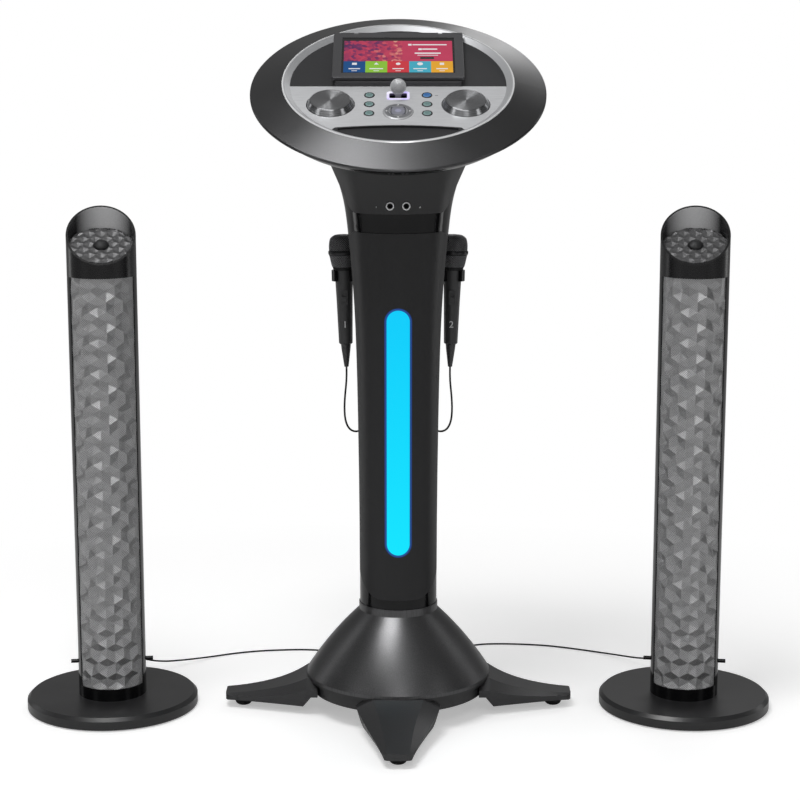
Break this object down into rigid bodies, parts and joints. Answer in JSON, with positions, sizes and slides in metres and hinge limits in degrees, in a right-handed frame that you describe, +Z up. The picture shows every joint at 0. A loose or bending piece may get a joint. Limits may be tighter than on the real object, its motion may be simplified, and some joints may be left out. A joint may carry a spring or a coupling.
{
  "type": "karaoke machine",
  "caption": "Pedestal karaoke machine with a tilted round console, a flip-up screen over a disc tray, jog wheels, corded microphones in side holders and slim speaker towers.",
  "frame": {"origin": "centre of the footprint on the floor, under the pedestal", "axes": "+Z up, the front with the light bar faces -Y, +X to the right seen from the front"},
  "size_m": [1.119, 0.5758, 1.0209],
  "materials": {
    "gloss_black": "gloss",
    "matte_black": "matte",
    "dark_grey": "satin",
    "satin_silver": "satin",
    "screw_steel": "satin",
    "steel_tube": "satin",
    "foot_rubber": "matte",
    "light_blue": "lit",
    "chrome": "polished",
    "ring_chrome": "polished",
    "control_silver": "brushed",
    "jog_metal": "circular brushed",
    "button_teal": "satin",
    "button_blue": "satin",
    "button_lilac": "satin",
    "lever_metal": "mesh",
    "lever_glow": "lit",
    "screen": "gloss",
    "board_green": "matte",
    "driver_black": "matte",
    "grille_silver": "mesh",
    "mic_mesh": "mesh",
    "cord_rubber": "satin"
  },
  "bodies": {
    "console": {"base_hub": "matte_black", "legs": "gloss_black", "rubber_feet": "foot_rubber", "leg_screws": "screw_steel", "base_cone": "satin_silver", "support_tube": "steel_tube", "column_shell": "gloss_black", "column_front": "matte_black", "light_window": "light_blue", "jack_panel": "matte_black", "mic_jacks": "chrome", "mic_holders": "gloss_black", "head_bowl": "gloss_black", "brim": "dark_grey", "trim_ring": "ring_chrome", "deck_plate": "dark_grey", "control_plate": "control_silver", "cradle_insert": "dark_grey", "button_bezels": "matte_black", "lever_frame": "lever_glow", "disc_tray": "dark_grey", "circuit_boards": "board_green", "rear_fittings": "matte_black", "cord_plugs": "matte_black", "tower_drivers": "driver_black", "tower_base_left": "gloss_black", "tower_shell_left": "gloss_black", "tower_grilles_left": "grille_silver", "tower_cap_left": "gloss_black", "mic_cord_left": "cord_rubber", "mic_coil_left": "cord_rubber", "speaker_cord_left": "cord_rubber", "tower_base_right": "gloss_black", "tower_shell_right": "gloss_black", "tower_grilles_right": "grille_silver", "tower_cap_right": "gloss_black", "mic_cord_right": "cord_rubber", "mic_coil_right": "cord_rubber", "speaker_cord_right": "cord_rubber"},
    "screen_lid": {"screen_housing": "dark_grey", "screen_panel": "screen"},
    "jog_wheel_left": {"jog_left": "jog_metal"},
    "jog_wheel_right": {"jog_right": "jog_metal"},
    "nav_ring": {"nav_ring": "dark_grey"},
    "ok_button": {"ok_button": "button_lilac"},
    "effect_lever": {"effect_lever": "lever_metal"},
    "disc_spindle": {"disc_spindle": "matte_black"},
    "disc_pickup": {"disc_pickup": "matte_black"},
    "button_left_1": {"button_left_1": "button_teal"},
    "button_left_2": {"button_left_2": "button_teal"},
    "button_left_3": {"button_left_3": "button_teal"},
    "microphone_left": {"mic_body_left": "matte_black", "mic_head_left": "mic_mesh"},
    "mic_switch_left": {"mic_switch_left": "screw_steel"},
    "button_right_1": {"button_right_1": "button_blue"},
    "button_right_2": {"button_right_2": "button_teal"},
    "button_right_3": {"button_right_3": "button_teal"},
    "microphone_right": {"mic_body_right": "matte_black", "mic_head_right": "mic_mesh"},
    "mic_switch_right": {"mic_switch_right": "screw_steel"}
  },
  "joints": [
    {"name": "screen_lid_hinge", "type": "hinge", "parent": "console", "child": "screen_lid", "pos_m": [0, 0.1088, 0.99719], "axis": [-1, 0, 0], "range_deg": [0, 65]},
    {"name": "jog_left_spin", "type": "hinge", "parent": "console", "child": "jog_wheel_left", "pos_m": [-0.0957, -0.04829, 0.90198], "axis": [0, -0.4792, 0.8777], "continuous": true},
    {"name": "button_left_1_press", "type": "slide", "parent": "console", "child": "button_left_1", "axis": [0, 0.4792, -0.8777], "range_m": [0, 0.0012], "stiffness_N_per_m": 400},
    {"name": "button_left_2_press", "type": "slide", "parent": "console", "child": "button_left_2", "axis": [0, 0.4792, -0.8777], "range_m": [0, 0.0012], "stiffness_N_per_m": 400},
    {"name": "button_left_3_press", "type": "slide", "parent": "console", "child": "button_left_3", "axis": [0, 0.4792, -0.8777], "range_m": [0, 0.0012], "stiffness_N_per_m": 400},
    {"name": "microphone_left_lift", "type": "slide", "parent": "console", "child": "microphone_left", "axis": [-0.0227, 0, 0.9997], "range_m": [0, 0.035]},
    {"name": "mic_switch_left_slide", "type": "slide", "parent": "microphone_left", "child": "mic_switch_left", "axis": [-0.0227, 0, 0.9997], "range_m": [0, 0.005]},
    {"name": "jog_right_spin", "type": "hinge", "parent": "console", "child": "jog_wheel_right", "pos_m": [0.0957, -0.04829, 0.90198], "axis": [0, -0.4792, 0.8777], "continuous": true},
    {"name": "button_right_1_press", "type": "slide", "parent": "console", "child": "button_right_1", "axis": [0, 0.4792, -0.8777], "range_m": [0, 0.0012], "stiffness_N_per_m": 400},
    {"name": "button_right_2_press", "type": "slide", "parent": "console", "child": "button_right_2", "axis": [0, 0.4792, -0.8777], "range_m": [0, 0.0012], "stiffness_N_per_m": 400},
    {"name": "button_right_3_press", "type": "slide", "parent": "console", "child": "button_right_3", "axis": [0, 0.4792, -0.8777], "range_m": [0, 0.0012], "stiffness_N_per_m": 400},
    {"name": "microphone_right_lift", "type": "slide", "parent": "console", "child": "microphone_right", "axis": [0.0227, 0, 0.9997], "range_m": [0, 0.035]},
    {"name": "mic_switch_right_slide", "type": "slide", "parent": "microphone_right", "child": "mic_switch_right", "axis": [0.0227, 0, 0.9997], "range_m": [0, 0.005]},
    {"name": "nav_ring_press", "type": "slide", "parent": "console", "child": "nav_ring", "axis": [0, 0.4792, -0.8777], "range_m": [0, 0.001], "stiffness_N_per_m": 600},
    {"name": "ok_button_press", "type": "slide", "parent": "console", "child": "ok_button", "axis": [0, 0.4792, -0.8777], "range_m": [0, 0.0012], "stiffness_N_per_m": 500},
    {"name": "effect_lever_tilt", "type": "hinge", "parent": "console", "child": "effect_lever", "pos_m": [0, -0.02252, 0.90466], "axis": [1, 0, 0], "range_deg": [-12, 12], "stiffness_Nm_per_rad": 1},
    {"name": "disc_spindle_spin", "type": "hinge", "parent": "console", "child": "disc_spindle", "pos_m": [0, 0.05562, 0.95415], "axis": [0, -0.4792, 0.8777], "continuous": true},
    {"name": "disc_pickup_slide", "type": "slide", "parent": "console", "child": "disc_pickup", "axis": [1, 0, 0], "range_m": [0, 0.0314]}
  ]
}
